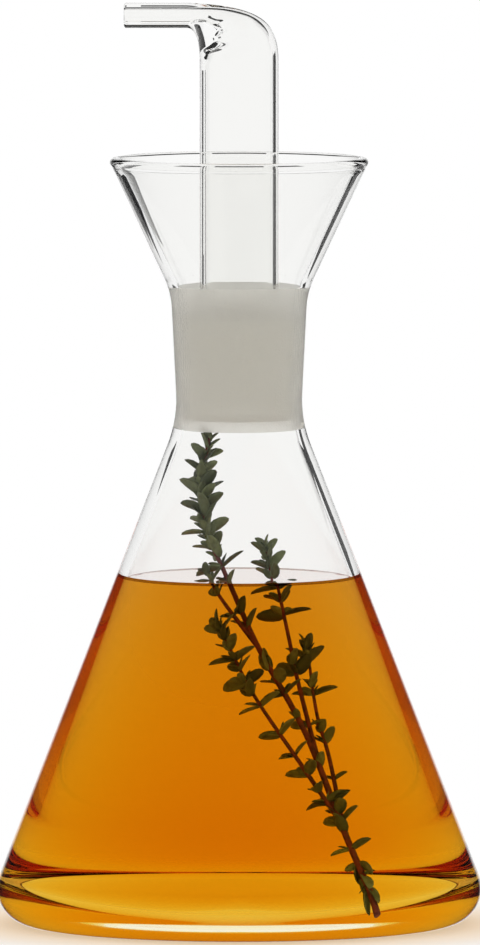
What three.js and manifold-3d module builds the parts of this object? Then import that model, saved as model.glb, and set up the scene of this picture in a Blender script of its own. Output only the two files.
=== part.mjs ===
// Anti-drip oil cruet: a blown glass flask with a ground socket in its neck, a hollow glass pour spout
// that seats in the socket, a fill of oil and a sprig of thyme standing in the oil.
// Millimetres, +Z up, origin on the axis at the foot. The spout points along -X.

import * as THREE from 'three';
import { mergeVertices } from 'three/addons/utils/BufferGeometryUtils.js';
import Module from 'manifold-3d';

const { degToRad } = THREE.MathUtils;

// Flask body
const BODY_DIAMETER = 115.5;
const BODY_WALL = 2.4;
const CONE_ANGLE = degToRad(21.3);
const HEEL_RADIUS = 8.5;
const INNER_HEEL_RADIUS = 6;
const FOOT_RING_WIDTH = 4.75;
const PUNT_DEPTH = 3;
const PUNT_EDGE = 2.2;
const BASE_THICKNESS = 2.6;

// Ground joint: a 29/32 taper, 1 in 10 on the diameter
const JOINT_DIAMETER = 29.2;
const JOINT_LENGTH = 32;
const JOINT_TAPER = 0.1;
const JOINT_GAP = 0.3;
const NECK_WALL = 1.75;
const NECK_BLEND = 30;

// Drip funnel above the joint
const FUNNEL_ANGLE = degToRad(25.2);
const FUNNEL_WALL = 2.2;
const FUNNEL_BLEND = 20;
const RIM_DIAMETER = 61.5;
const BEAD_DIAMETER = 2.4;

// Pour spout: ground seat, upright tube, drawn head and level spout
const SEAT_LENGTH = 24;
const SEAT_WALL = 2.2;
const SEAT_SHOULDER = 4.5;
const SHOULDER_BLEND = 2.5;
const TUBE_DIAMETER = 18.8;
const TUBE_WALL = 1.2;
const HEAD_HEIGHT = 14.7;
const HEAD_SHOULDER = 10.5;
const HEAD_ROOF = 18;
const ROOF_FALL = 0.8;
const CROTCH_GLASS = 1.6;
const SPOUT_HEIGHT = 64.2;
const SPOUT_REACH = 27.4;
const SPOUT_ROOT = 3;
const SPOUT_DIAMETER = 6;
const SPOUT_BORE = 3.3;
const VENT_WIDTH = 3;
const VENT_DEPTH = 1;

// Contents
const OIL_LEVEL = 82.8;
const CONTENTS_GAP = 0.3;
const STEM_DIAMETER = 1.7;
const SHOOT_DIAMETER = 1.2;
const LEAF_LENGTH = 6.8;
const TIP_LEAF_LENGTH = 4.6;
const LEAF_WIDTH = 3.4;
const LEAF_THICKNESS = 0.9;
const LEAF_PITCH = 9;
const TIP_PITCH = 4;
const LEAF_TILT = degToRad(52);
const PAIR_TURN = degToRad(83);

// Facets
const FLASK_SIDES = 40;
const OIL_SIDES = 32;
const SPOUT_SIDES = 24;
const STEM_SIDES = 5;
const LEAF_SIDES = 4;
const LEAF_RINGS = 3;
const ARC_STEP = degToRad(15);
const HEAD_RINGS = 9;
const STEM_STEP = 7;
const WELD = 1e-5;

const glass = new THREE.MeshStandardMaterial({ color: 0xf3f1ef, roughness: 0.05, metalness: 0 });
const spoutGlass = new THREE.MeshStandardMaterial({ color: 0xf5f3f0, roughness: 0.05, metalness: 0 });
const oilAmber = new THREE.MeshStandardMaterial({ color: 0xd9850f, roughness: 0.1, metalness: 0 });
const thymeGreen = new THREE.MeshStandardMaterial({ color: 0x42472a, roughness: 0.75, metalness: 0 });

const wasm = await Module();
wasm.setup();

// Heights and radii that follow from the driving dimensions
const bodyRadius = BODY_DIAMETER / 2;
const tubeRadius = TUBE_DIAMETER / 2;
const spoutRadius = SPOUT_DIAMETER / 2;
const boreRadius = SPOUT_BORE / 2;
const beadRadius = BEAD_DIAMETER / 2;
const heelCentre = bodyRadius - HEEL_RADIUS;
const puntRadius = heelCentre - FOOT_RING_WIDTH;
const floorHeight = PUNT_EDGE + BASE_THICKNESS;
const coneSlope = Math.tan(CONE_ANGLE);
const coneFoot = heelCentre + HEEL_RADIUS / Math.cos(CONE_ANGLE) + HEEL_RADIUS * coneSlope;
const funnelSlope = Math.tan(FUNNEL_ANGLE);
const socketSlope = JOINT_TAPER / 2;
const socketFoot = JOINT_DIAMETER / 2 - socketSlope * JOINT_LENGTH;
const jointBottom = (coneFoot - socketFoot - NECK_WALL) / coneSlope;
const jointTop = jointBottom + JOINT_LENGTH;
const spoutAxis = jointTop + SPOUT_HEIGHT;

const coneRadius = (z) => coneFoot - coneSlope * z;
const insideRadius = (z) => coneRadius(z) - BODY_WALL / Math.cos(CONE_ANGLE);
const socketRadius = (z) => socketFoot + socketSlope * (z - jointBottom);
const funnelInside = (z) => JOINT_DIAMETER / 2 + funnelSlope * (z - jointTop);

// The height at which two straight lines r(z) meet
function meeting(lineA, lineB) {
  const gapAtFoot = lineA(0) - lineB(0);
  const gapAbove = lineA(1) - lineB(1);
  return gapAtFoot / (gapAtFoot - gapAbove);
}

// Points round an arc, both ends included
function arc(centre, radius, from, to) {
  const steps = Math.max(2, Math.ceil(Math.abs(to - from) / ARC_STEP));
  return Array.from({ length: steps + 1 }, (_, i) => {
    const angle = from + ((to - from) * i) / steps;
    return new THREE.Vector2(centre.x + radius * Math.cos(angle), centre.y + radius * Math.sin(angle));
  });
}

// A polyline of corners [r, z, blend radius] with each blended corner turned into an arc
function rounded(corners) {
  const places = corners.map(([r, z]) => new THREE.Vector2(r, z));
  return corners.flatMap(([, , blend = 0], i) => {
    if (blend === 0) return [places[i]];
    const back = places[i - 1].clone().sub(places[i]).normalize();
    const ahead = places[i + 1].clone().sub(places[i]).normalize();
    const half = Math.acos(back.dot(ahead)) / 2;
    const middle = back.clone().add(ahead).normalize();
    const centre = places[i].clone().addScaledVector(middle, blend / Math.sin(half));
    const start = places[i].clone().addScaledVector(back, blend / Math.tan(half)).sub(centre).angle();
    const end = places[i].clone().addScaledVector(ahead, blend / Math.tan(half)).sub(centre).angle();
    const turn = THREE.MathUtils.euclideanModulo(end - start + Math.PI, 2 * Math.PI) - Math.PI;
    return arc(centre, blend, start, start + turn);
  });
}

// One closed mesh with shared corners and no triangles of zero width
function welded(geometry) {
  geometry.deleteAttribute('normal');
  geometry.deleteAttribute('uv');
  const merged = mergeVertices(geometry, WELD);
  const corners = merged.index.array;
  const kept = [];
  for (let i = 0; i < corners.length; i += 3) {
    const [a, b, c] = corners.slice(i, i + 3);
    if (a !== b && b !== c && c !== a) kept.push(a, b, c);
  }
  merged.setIndex(kept);
  return merged;
}

// A profile of (r, z) points turned about the Z axis
function revolved(profile, sides) {
  return welded(new THREE.LatheGeometry(profile, sides).rotateX(Math.PI / 2));
}

// A closed skin over rings of equal length, capped at both ends
function skinned(rings) {
  const sides = rings[0].length;
  const centre = (ring) => ring.reduce((sum, p) => sum.add(p), new THREE.Vector3()).divideScalar(sides);
  const points = [...rings.flat(), centre(rings[0]), centre(rings.at(-1))];
  const firstCap = rings.length * sides;
  const lastRing = firstCap - sides;
  const index = [];
  for (let side = 0; side < sides; side += 1) {
    const next = (side + 1) % sides;
    index.push(firstCap, next, side);
    index.push(firstCap + 1, lastRing + side, lastRing + next);
    for (let row = 0; row < lastRing; row += sides) {
      index.push(row + side, row + next, row + sides + next);
      index.push(row + side, row + sides + next, row + sides + side);
    }
  }
  return new THREE.BufferGeometry().setFromPoints(points).setIndex(index);
}

// A round ring in the upright plane of the spout, with the line from near to far as its diameter
function ringAcross(near, far, sides) {
  const centre = near.clone().add(far).divideScalar(2);
  const reach = far.clone().sub(near).divideScalar(2);
  const across = new THREE.Vector3(0, reach.length(), 0);
  return Array.from({ length: sides }, (_, i) => {
    const angle = (2 * Math.PI * i) / sides;
    return centre.clone().addScaledVector(reach, Math.cos(angle)).addScaledVector(across, Math.sin(angle));
  });
}

function solid(geometry) {
  const vertProperties = new Float32Array(geometry.attributes.position.array);
  const triVerts = new Uint32Array(geometry.index.array);
  return new wasm.Manifold(new wasm.Mesh({ numProp: 3, vertProperties, triVerts }));
}

function geometryOf(manifold) {
  const { vertProperties, triVerts } = manifold.getMesh();
  const geometry = new THREE.BufferGeometry();
  geometry.setAttribute('position', new THREE.BufferAttribute(vertProperties, 3));
  return geometry.setIndex(new THREE.BufferAttribute(triVerts, 1));
}

function named(name, geometry, material) {
  const mesh = new THREE.Mesh(geometry, material);
  mesh.name = name;
  return mesh;
}

// Flask: foot ring, heel, cone, neck and funnel outside, fire-polished bead, then the same way down inside.

// Corners of the inside of the body from the floor's centre to the height given, shrunk by inset
function insideCorners(inset, top) {
  const floor = floorHeight + inset;
  const wall = (z) => insideRadius(z) - inset / Math.cos(CONE_ANGLE);
  return [
    [0, PUNT_DEPTH + BASE_THICKNESS + inset],
    [puntRadius, floor],
    [wall(floor), floor, INNER_HEEL_RADIUS - inset],
    [wall(top), top],
  ];
}

function flask() {
  const funnelOutside = (z) => funnelInside(z) + FUNNEL_WALL / Math.cos(FUNNEL_ANGLE);
  const neckOutside = (z) => socketRadius(z) + NECK_WALL;
  const funnelMiddle = (z) => (funnelInside(z) + funnelOutside(z)) / 2;
  const throat = meeting(funnelOutside, neckOutside);
  const beadCentre = new THREE.Vector2(RIM_DIAMETER / 2 - beadRadius, 0);
  beadCentre.y = meeting(funnelMiddle, () => beadCentre.x);
  const neckEntry = meeting(insideRadius, socketRadius);

  const outside = rounded([
    [0, PUNT_DEPTH],
    [puntRadius, PUNT_EDGE],
    [puntRadius, 0],
    [coneFoot, 0, HEEL_RADIUS],
    [socketFoot + NECK_WALL, jointBottom, NECK_BLEND],
    [neckOutside(throat), throat, FUNNEL_BLEND],
    [funnelOutside(beadCentre.y - BEAD_DIAMETER), beadCentre.y - BEAD_DIAMETER],
  ]);
  const halfMouth = Math.asin(FUNNEL_WALL / BEAD_DIAMETER);
  const downTheWall = -Math.PI / 2 - FUNNEL_ANGLE;
  const bead = arc(beadCentre, beadRadius, downTheWall + halfMouth, downTheWall + 2 * Math.PI - halfMouth);
  const inside = rounded([
    ...insideCorners(0, jointBottom).slice(0, -1),
    [socketRadius(neckEntry), neckEntry, NECK_BLEND],
    [socketRadius(jointTop), jointTop],
    [funnelInside(beadCentre.y - BEAD_DIAMETER), beadCentre.y - BEAD_DIAMETER],
  ]);
  return revolved([...outside, ...bead, ...inside.reverse()], FLASK_SIDES);
}

// Pour spout: hollow all the way, from the ground seat to the tip.

// Rings from the seat to the tip. Inset moves every ring inwards to make the bore.
function spoutRings({ seat, tube, crotch, spout, overrun }) {
  const seatTop = jointBottom + SEAT_LENGTH;
  const seatRadius = (z) => socketRadius(z) - JOINT_GAP - seat;
  const tubeRing = tubeRadius - tube;
  const bend = spoutAxis + spoutRadius - HEAD_HEIGHT;
  const root = -tubeRadius - SPOUT_ROOT;
  const spoutRing = spoutRadius - spout;
  const upright = rounded([
    [seatRadius(jointBottom - overrun), jointBottom - overrun],
    [seatRadius(seatTop), seatTop, SHOULDER_BLEND],
    [tubeRing, seatTop + SEAT_SHOULDER, SHOULDER_BLEND],
    [tubeRing, bend],
  ]);
  const at = (x, z) => new THREE.Vector3(x, 0, z);
  const crotchCurve = new THREE.QuadraticBezierCurve3(
    at(-tubeRing, bend),
    at(-tubeRing + crotch, spoutAxis - spoutRing),
    at(root, spoutAxis - spoutRing),
  );
  const crownCurve = new THREE.CubicBezierCurve3(
    at(tubeRing, bend),
    at(tubeRing, bend + HEAD_SHOULDER - tube),
    at(root + HEAD_ROOF - tube, spoutAxis + spoutRing - ROOF_FALL),
    at(root, spoutAxis + spoutRing),
  );
  const heads = Array.from({ length: HEAD_RINGS }, (_, i) => (i + 1) / HEAD_RINGS);
  return [
    ...upright.map(({ x: r, y: z }) => [at(-r, z), at(r, z)]),
    ...heads.map((share) => [crotchCurve.getPoint(share), crownCurve.getPoint(share)]),
    [at(-SPOUT_REACH - overrun, spoutAxis - spoutRing), at(-SPOUT_REACH - overrun, spoutAxis + spoutRing)],
  ].map(([near, far]) => ringAcross(near, far, SPOUT_SIDES));
}

// The groove down the ground seat, on the side away from the spout
function ventGroove() {
  const middle = jointBottom + SEAT_LENGTH / 2;
  const height = SEAT_LENGTH + 2 * SEAT_SHOULDER;
  const groove = new THREE.BoxGeometry(2 * VENT_DEPTH, VENT_WIDTH, height);
  groove.rotateY(Math.atan(socketSlope));
  groove.translate(socketRadius(middle) - JOINT_GAP, 0, middle);
  return welded(groove);
}

function pourSpout() {
  const outside = spoutRings({ seat: 0, tube: 0, crotch: 0, spout: 0, overrun: 0 });
  const bore = spoutRings({
    seat: SEAT_WALL,
    tube: TUBE_WALL,
    crotch: CROTCH_GLASS,
    spout: spoutRadius - boreRadius,
    overrun: 1,
  });
  return geometryOf(solid(skinned(outside)).subtract(solid(skinned(bore))).subtract(solid(ventGroove())));
}

// Thyme: the stem leans along the front of the flask from the heel into the neck, and shoots leave it.
// A route point is [height, side, front], as shares of the inside height and of the inside radius there.
// Fork is the height share at which a shoot leaves the stem, and tuft counts the crowded pairs at a tip.
const STEM = {
  diameter: STEM_DIAMETER,
  tuft: 7,
  route: [
    [0.011, 0.555, 0.67], [0.153, 0.47, 0.59], [0.358, 0.358, 0.59], [0.534, 0.125, 0.58],
    [0.68, -0.108, 0.52], [0.777, -0.344, 0.44], [0.883, -0.5, 0.3], [0.961, -0.5, 0.2],
  ],
};
const SHOOTS = [
  { fork: 0.316, tuft: 3, route: [[0.459, 0.351, 0.52], [0.561, 0.328, 0.5], [0.741, 0.257, 0.4]] },
  { fork: 0.188, tuft: 2, route: [[0.305, 0.455, 0.53], [0.4, 0.43, 0.52], [0.531, 0.442, 0.48]] },
  { fork: 0.208, tuft: 4, route: [[0.293, 0.32, 0.63], [0.443, 0.08, 0.64], [0.58, -0.14, 0.64]] },
  { fork: 0.57, tuft: 2, route: [[0.628, -0.12, 0.6], [0.687, -0.28, 0.56]] },
];

function routePlace([height, side, front]) {
  const z = floorHeight + height * (jointBottom - floorHeight);
  return new THREE.Vector3(side * insideRadius(z), -front * insideRadius(z), z);
}

// The place on the stem's curve at a height share
function forkPlace(curve, height) {
  const above = STEM.route.findIndex(([reached]) => reached > height);
  const [low, high] = [STEM.route[above - 1][0], STEM.route[above][0]];
  return curve.getPoint((above - 1 + (height - low) / (high - low)) / (STEM.route.length - 1));
}

function sprigTwigs() {
  const curve = new THREE.CatmullRomCurve3(STEM.route.map(routePlace));
  const shoots = SHOOTS.map(({ fork, tuft, route }) => {
    const places = [forkPlace(curve, fork), ...route.map(routePlace)];
    return { curve: new THREE.CatmullRomCurve3(places), diameter: SHOOT_DIAMETER, tuft };
  });
  return [{ curve, diameter: STEM.diameter, tuft: STEM.tuft }, ...shoots];
}

// A stem along a curve, half as thick at its tip, grown all round by the clearance
function twig({ curve, diameter }, clearance) {
  const steps = Math.ceil(curve.getLength() / STEM_STEP);
  const { tangents, normals, binormals } = curve.computeFrenetFrames(steps);
  const ends = (i) => (i === steps) - (i === 0);
  const rings = tangents.map((tangent, i) => {
    const radius = (diameter / 2) * (1 - i / steps / 2) + clearance;
    const centre = curve.getPointAt(i / steps).addScaledVector(tangent, ends(i) * clearance);
    return Array.from({ length: STEM_SIDES }, (_, side) => {
      const angle = (2 * Math.PI * side) / STEM_SIDES;
      const across = normals[i].clone().multiplyScalar(Math.cos(angle) * radius);
      return across.addScaledVector(binormals[i], Math.sin(angle) * radius).add(centre);
    });
  });
  return solid(skinned(rings));
}

// A flat oval leaf from its foot along a way, with its upper side towards the tip of the stem
function leaf(foot, way, stem, length, clearance) {
  const blade = new THREE.SphereGeometry(1, LEAF_SIDES, LEAF_RINGS);
  const width = (LEAF_WIDTH * length) / LEAF_LENGTH;
  blade.scale(width / 2 + clearance, length / 2 + clearance, LEAF_THICKNESS / 2 + clearance);
  const across = way.clone().cross(stem).normalize();
  const placed = new THREE.Matrix4().makeBasis(across, way, across.clone().cross(way));
  placed.setPosition(foot.clone().addScaledVector(way, length / 2));
  return solid(welded(blade).applyMatrix4(placed));
}

// Opposite pairs of leaves up a twig, each pair turned from the last, crowded and smaller in the tuft
function leafPairs({ curve, tuft }, clearance) {
  const total = curve.getLength();
  const stations = Array.from({ length: tuft }, (_, i) => total - (i + 0.5) * TIP_PITCH);
  for (let s = stations.at(-1) - LEAF_PITCH; s > LEAF_PITCH / 2; s -= LEAF_PITCH) stations.push(s);
  return stations.flatMap((station, pair) => {
    const foot = curve.getPointAt(station / total);
    const stem = curve.getTangentAt(station / total);
    const length = THREE.MathUtils.lerp(TIP_LEAF_LENGTH, LEAF_LENGTH, Math.min(1, pair / tuft));
    const side = new THREE.Vector3(0, -1, 0).cross(stem).normalize().applyAxisAngle(stem, pair * PAIR_TURN);
    return [1, -1].map((hand) => {
      const way = stem.clone().multiplyScalar(Math.cos(LEAF_TILT));
      way.addScaledVector(side, hand * Math.sin(LEAF_TILT));
      return leaf(foot, way, stem, length, clearance);
    });
  });
}

// The whole sprig as one solid, grown all round by the clearance
function sprig(clearance) {
  const pieces = sprigTwigs().flatMap((each) => [twig(each, clearance), ...leafPairs(each, clearance)]);
  return pieces.reduce((whole, piece) => whole.add(piece));
}

// Oil: fills the body to its level, a film's width off the glass and off the sprig.
function oil() {
  const filled = rounded(insideCorners(CONTENTS_GAP, OIL_LEVEL));
  const fill = revolved([...filled, new THREE.Vector2(0, OIL_LEVEL)], OIL_SIDES);
  return geometryOf(solid(fill).subtract(sprig(CONTENTS_GAP)));
}

const cruet = new THREE.Group();
cruet.add(
  named('flask', flask(), glass),
  named('pour_spout', pourSpout(), spoutGlass),
  named('oil', oil(), oilAmber),
  named('thyme_sprig', geometryOf(sprig(0)), thymeGreen),
);

export default cruet;
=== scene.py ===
"""A glass oil cruet with a lift-out pour spout, its oil and a sprig of thyme, dressed over the CAD frame."""

import math
from types import SimpleNamespace

import bpy
import numpy as np
from bpy.props import FloatProperty, FloatVectorProperty, IntProperty, PointerProperty
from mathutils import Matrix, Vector


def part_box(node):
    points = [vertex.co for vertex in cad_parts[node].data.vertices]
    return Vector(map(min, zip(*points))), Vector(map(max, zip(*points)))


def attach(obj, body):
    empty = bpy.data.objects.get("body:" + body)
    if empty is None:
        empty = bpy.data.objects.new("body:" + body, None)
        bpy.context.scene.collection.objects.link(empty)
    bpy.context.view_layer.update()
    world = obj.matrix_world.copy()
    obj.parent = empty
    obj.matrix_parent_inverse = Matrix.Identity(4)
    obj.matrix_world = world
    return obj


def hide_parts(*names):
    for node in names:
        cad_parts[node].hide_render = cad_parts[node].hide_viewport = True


bl_info = {
    "name": "Oil Cruet",
    "version": (1, 0, 0),
    "blender": (4, 5, 0),
    "location": "View3D > Sidebar > Cruet",
    "description": "Builds a glass oil cruet with its pour spout, oil and thyme over the packed frame",
    "category": "Add Mesh",
}

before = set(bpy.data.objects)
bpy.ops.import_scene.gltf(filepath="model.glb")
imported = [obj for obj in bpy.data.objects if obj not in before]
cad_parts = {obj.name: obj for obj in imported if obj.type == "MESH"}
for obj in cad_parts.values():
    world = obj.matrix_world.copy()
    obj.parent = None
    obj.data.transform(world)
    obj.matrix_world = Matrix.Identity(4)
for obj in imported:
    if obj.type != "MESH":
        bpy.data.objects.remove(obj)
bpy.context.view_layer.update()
SEAT_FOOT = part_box("pour_spout")[0].z
SPOUT_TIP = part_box("pour_spout")[0].x
SPOUT_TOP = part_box("pour_spout")[1].z
OIL_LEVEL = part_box("oil")[1].z

MM = 0.001
ARC_STEP = math.radians(3)
LINE_STEP = 2 * MM
FLASK_SIDES = 180
OIL_SIDES = 180
SURFACE_RINGS = 60
SPOUT_SIDES = 96
HEAD_RINGS = 60
LIP_WAVES = 4

PATH_POINTS = 241
STEM_RINGS = 80
STEM_SIDES = 10
LEAF_SIDES = 8
LEAF_STATIONS = (0.07, 0.25, 0.5, 0.75, 0.93)
LEAF_FULLNESS = 0.9
LEAF_FOLD = 0.35
LEAF_CURL = 0.16
# The two leaves of a pair face each other, and small leaves wind up the axils between them.
PAIR_TURN = 180
AXIL_START = 75
AXIL_TURN = 137
AXIL_OPENING = 0.6
AXIL_SIZE = 0.62
# How far one leaf may differ from the next: degrees, degrees, share of its length, and radians.
BEARING_SPREAD = 14
OPENING_SPREAD = 9
SIZE_SPREAD = 0.12
ROLL_SPREAD = 1.3

# Glass and oil bend light less than the real ones do, so that the cone's sides don't mirror the sprig.
GLASS_IOR = 1.24
OIL_IOR = 1.235
SURFACE_COAT_IOR = 2.0
OIL_DENSITY = 80.0
# Real grit leaves marks of about 0.05 mm, and these are coarser so that they show.
GRIT_SIZE = 0.4 * MM
MOTTLE_SIZE = 1.11 * MM
PIT_DEPTH = 0.1 * MM
BARK_FLECK = 1.67 * MM

FLOOR_SIDES = 96
FLOOR_RINGS = (0.02, 0.06, 0.12, 0.2, 0.26)
SHADOW_REACH = (0.05, 0.2)
SHADOW_WHITE = 0.6
# Painted light: where the floor's painted warm glow is full and where it has faded out.
GLOW_REACH = (0.055, 0.09)
# Where the mirrored backdrop begins and is full, as the share of a direction that points along +Y.
BACKDROP_EDGE = (0.95, 0.99)
WHITE = (1.0, 1.0, 1.0, 1.0)
CARD_COLUMNS = 33
# A flag card is (first bearing, last bearing, distance from the axis, foot, top): degrees from +Y, metres.
# Their places are matched to the dark lines that the glass shows in the photograph's view.
FLAG_CARDS = (
    (-60, 60, 0.2, 0.285, 0.45),
    (150, 240, 0.2, 0.3, 0.45),
    (-7, 7, 0.2, 0.112, 0.137),
    (27, 38, 0.2, 0.1, 0.137),
    (-39, -26, 0.16, 0.124, 0.15),
    (25, 52, 0.2, 0.137, 0.215),
    (-36, -23, 0.1, 0.147, 0.2),
)
PHOTO_HEIGHT = 945
PHOTO_PIXEL = 0.238 * MM
SENSOR_HEIGHT = 36.0
CAMERA_DISTANCE = 5.0
CAMERA_ELEVATION = math.radians(3.86)
CAMERA_TARGET = Vector((0.0002, 0, 0.1077))


def linear(hex_colour):
    """The linear RGBA of an sRGB hex colour: each channel put through the sRGB curve."""
    channels = np.array([int(hex_colour[i:i + 2], 16) for i in (1, 3, 5)]) / 255
    curve = np.where(channels <= 0.04045, channels / 12.92, ((channels + 0.055) / 1.055) ** 2.4)
    return (*curve.tolist(), 1.0)


def length(name, description, default):
    """A property for a length in metres."""
    return FloatProperty(name=name, description=description, default=default, unit="LENGTH", precision=4)


def angle(name, description, degrees):
    """A property for an angle, written in degrees and kept in radians."""
    return FloatProperty(name=name, description=description, default=math.radians(degrees), subtype="ANGLE")


def ratio(name, description, default):
    """A property for a plain ratio."""
    return FloatProperty(name=name, description=description, default=default, precision=4)


def colour(name, description, hex_colour):
    """A property for a colour, written as sRGB hex and kept linear."""
    return FloatVectorProperty(
        name=name, description=description, default=linear(hex_colour), size=4, min=0, max=1, subtype="COLOR"
    )


class FlaskSizes(bpy.types.PropertyGroup):
    """Sizes of the blown flask"""

    body_radius: length("Body radius", "Widest radius, at the heel", 57.75 * MM)
    body_wall: length("Body wall", "Thickness of the cone's wall", 2.4 * MM)
    cone_angle: angle("Cone angle", "Lean of the body's wall from upright", 21.3)
    heel_radius: length("Heel radius", "Outer rounding between foot and cone", 8.5 * MM)
    inner_heel: length("Inner heel radius", "Inner rounding between floor and cone", 6 * MM)
    foot_ring: length("Foot ring", "Width of the ring that the flask stands on", 4.75 * MM)
    punt: length("Punt", "Depth of the hollow under the base at its middle", 3 * MM)
    punt_edge: length("Punt edge", "Depth of the hollow beside the foot ring", 2.2 * MM)
    punt_blend: length("Punt blend", "Rounding where the hollow's wall meets its roof", 1.2 * MM)
    base: length("Base", "Thickness of the glass over the hollow", 2.6 * MM)
    joint_diameter: length("Joint diameter", "Bore of the ground socket at its top", 29.2 * MM)
    joint_length: length("Joint length", "Length of the ground socket", 32 * MM)
    joint_slope: ratio("Joint slope", "Radius gained per length of socket", 0.05)
    neck_wall: length("Neck wall", "Glass outside the ground socket", 1.75 * MM)
    neck_blend: length("Neck blend", "Rounding between cone and neck", 30 * MM)
    funnel_angle: angle("Funnel angle", "Lean of the funnel's wall from upright", 25.2)
    funnel_wall: length("Funnel wall", "Thickness of the funnel's wall", 2.2 * MM)
    funnel_blend: length("Funnel blend", "Rounding between neck and funnel", 20 * MM)
    rim_radius: length("Rim radius", "Outer radius of the fire-polished rim", 30.75 * MM)
    bead_radius: length("Bead radius", "Radius of the rim's round bead", 1.2 * MM)


class SpoutSizes(bpy.types.PropertyGroup):
    """Sizes of the drawn pour spout"""

    seat_length: length("Seat length", "Length of the ground seat", 24 * MM)
    seat_wall: length("Seat wall", "Glass round the bore in the seat", 2.2 * MM)
    seat_gap: length("Seat gap", "Space between seat and socket", 0.3 * MM)
    shoulder: length("Shoulder", "Height over which the seat narrows to the tube", 4.5 * MM)
    shoulder_blend: length("Shoulder blend", "Rounding at both ends of the shoulder", 2.5 * MM)
    tube_radius: length("Tube radius", "Outer radius of the upright tube", 9.4 * MM)
    tube_wall: length("Tube wall", "Thickness of the tube's wall", 1.2 * MM)
    head_height: length("Head height", "From the start of the bend to the top of the spout", 14.7 * MM)
    head_shoulder: length("Head shoulder", "How far the outer wall runs on before it leans over", 10.5 * MM)
    head_roof: length("Head roof", "How far out from the spout's root the roof begins", 18 * MM)
    roof_fall: length("Roof fall", "Drop of the roof towards the shoulder", 0.8 * MM)
    lip: length("Lip", "How far the glass gathered at the spout's root bulges into the tube", 5 * MM)
    lip_height: length("Lip height", "Height of that bulge below the spout's bore", 5 * MM)
    lip_lumps: length("Lip lumps", "How far its glass is wavy, as it was gathered in the flame", 0.35 * MM)
    spout_root: length("Spout root", "Where the spout is round, out from the tube's wall", 3 * MM)
    spout_radius: length("Spout radius", "Outer radius of the spout", 3 * MM)
    bore_radius: length("Bore radius", "Radius of the spout's bore", 1.65 * MM)
    vent_width: length("Vent width", "Width of the groove down the seat", 3 * MM)
    vent_depth: length("Vent depth", "Depth of the groove down the seat", 1 * MM)


class ContentsSizes(bpy.types.PropertyGroup):
    """Sizes of the oil and the thyme"""

    oil_level: length("Oil level", "Height of the oil's surface", OIL_LEVEL)
    oil_overlap: length("Oil overlap", "How far the oil reaches into the glass, so no air shows", 0.12 * MM)
    meniscus_rise: length("Meniscus rise", "How far the oil climbs the glass", 0.2 * MM)
    meniscus_width: length("Meniscus width", "How far from the glass the climb fades", 0.4 * MM)
    # Painted shade: the band under the brim that is tinted as the oil's dark edge line.
    painted_shade_band: length("Brim band", "Height of the dark line that the oil's edge draws", 0.7 * MM)
    stem_radius: length("Stem radius", "Radius of the main stem at its foot", 0.85 * MM)
    shoot_radius: length("Shoot radius", "Radius of a side shoot at its foot", 0.6 * MM)
    leaf_width: ratio("Leaf width", "Width of a leaf as a share of its length", 0.5)
    leaf_thickness: ratio("Leaf thickness", "Thickness of a leaf as a share of its length", 0.5 / 6.8)
    leaf_seed: IntProperty(name="Leaf seed", description="Seed of the leaves' small differences", default=7)


class Finishes(bpy.types.PropertyGroup):
    """Colours of the cruet's materials and of the stage"""

    glass: colour("Glass", "Tint of the clear glass", "#FBFBFA")
    ground: colour("Ground glass", "Tint of the ground joint", "#F4F1E8")
    oil: colour("Oil", "Colour that the oil lets through with depth", "#FBE700")
    # Painted shade: the wall's tint darkens and reddens the oil towards its top.
    oil_wall_shade: colour("Oil wall", "Tint of the oil's wall at its top, which fades to the heel", "#E2C0B3")
    # Painted shade: a dark line painted on the oil's edge against the glass.
    oil_edge_shade: colour("Oil edge", "Tint of the oil's edge against the glass", "#6C4A38")
    leaf_dark: colour("Leaf, dark", "Thyme leaf in its darker parts", "#3C4228")
    leaf_pale: colour("Leaf, pale", "Thyme leaf in its paler parts", "#7A8054")
    stem: colour("Stem", "Bark of the thyme's stems", "#7E2A1C")
    bark: colour("Bark", "Darker flecks of the bark", "#4A160E")
    floor: colour("Floor", "Pale studio floor", "#F2F0EC")
    # Painted light: a warm glow painted on the floor near the cruet, in place of the light that the oil
    # throws.
    glow: colour("Glow", "Warm light that the oil throws on the floor", "#FCE0BA")
    flag: colour("Flag", "Dark flags, and the studio that mirrored light meets", "#2A2A2A")


# Curves and surfaces

def arc(centre, radius, start, end):
    """Points on a circle about centre, from the start angle to the end angle."""
    turn = np.linspace(start, end, max(3, math.ceil(abs(end - start) / ARC_STEP) + 1))
    return np.asarray(centre) + radius * np.column_stack((np.cos(turn), np.sin(turn)))


def rounded(corners):
    """A polyline of corners (r, z, blend). The arc that touches both sides replaces each blended corner."""
    places = np.array([corner[:2] for corner in corners])
    pieces = []
    for i, (_, _, blend) in enumerate(corners):
        if not blend:
            pieces.append(places[i:i + 1])
            continue
        back = (places[i - 1] - places[i]) / np.linalg.norm(places[i - 1] - places[i])
        ahead = (places[i + 1] - places[i]) / np.linalg.norm(places[i + 1] - places[i])
        half = math.acos(back @ ahead) / 2
        middle = (back + ahead) / np.linalg.norm(back + ahead)
        centre = places[i] + middle * blend / math.sin(half)
        start, end = (places[i] + way * blend / math.tan(half) - centre for way in (back, ahead))
        from_angle = math.atan2(start[1], start[0])
        turn = (math.atan2(end[1], end[0]) - from_angle + math.pi) % (2 * math.pi) - math.pi
        pieces.append(arc(centre, blend, from_angle, from_angle + turn))
    return np.vstack(pieces)


def evenly(points, step):
    """The same polyline with every segment cut into equal parts no longer than step."""
    lengths = np.linalg.norm(np.diff(points, axis=0), axis=1)
    parts = np.maximum(1, np.ceil(lengths / step)).astype(int)
    segment = np.repeat(np.arange(len(parts)), parts)
    share = (np.arange(parts.sum()) - np.repeat(np.cumsum(parts) - parts, parts)) / parts[segment]
    cut = points[segment] + share[:, None] * (points[segment + 1] - points[segment])
    return np.vstack((cut, points[-1:]))


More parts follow.
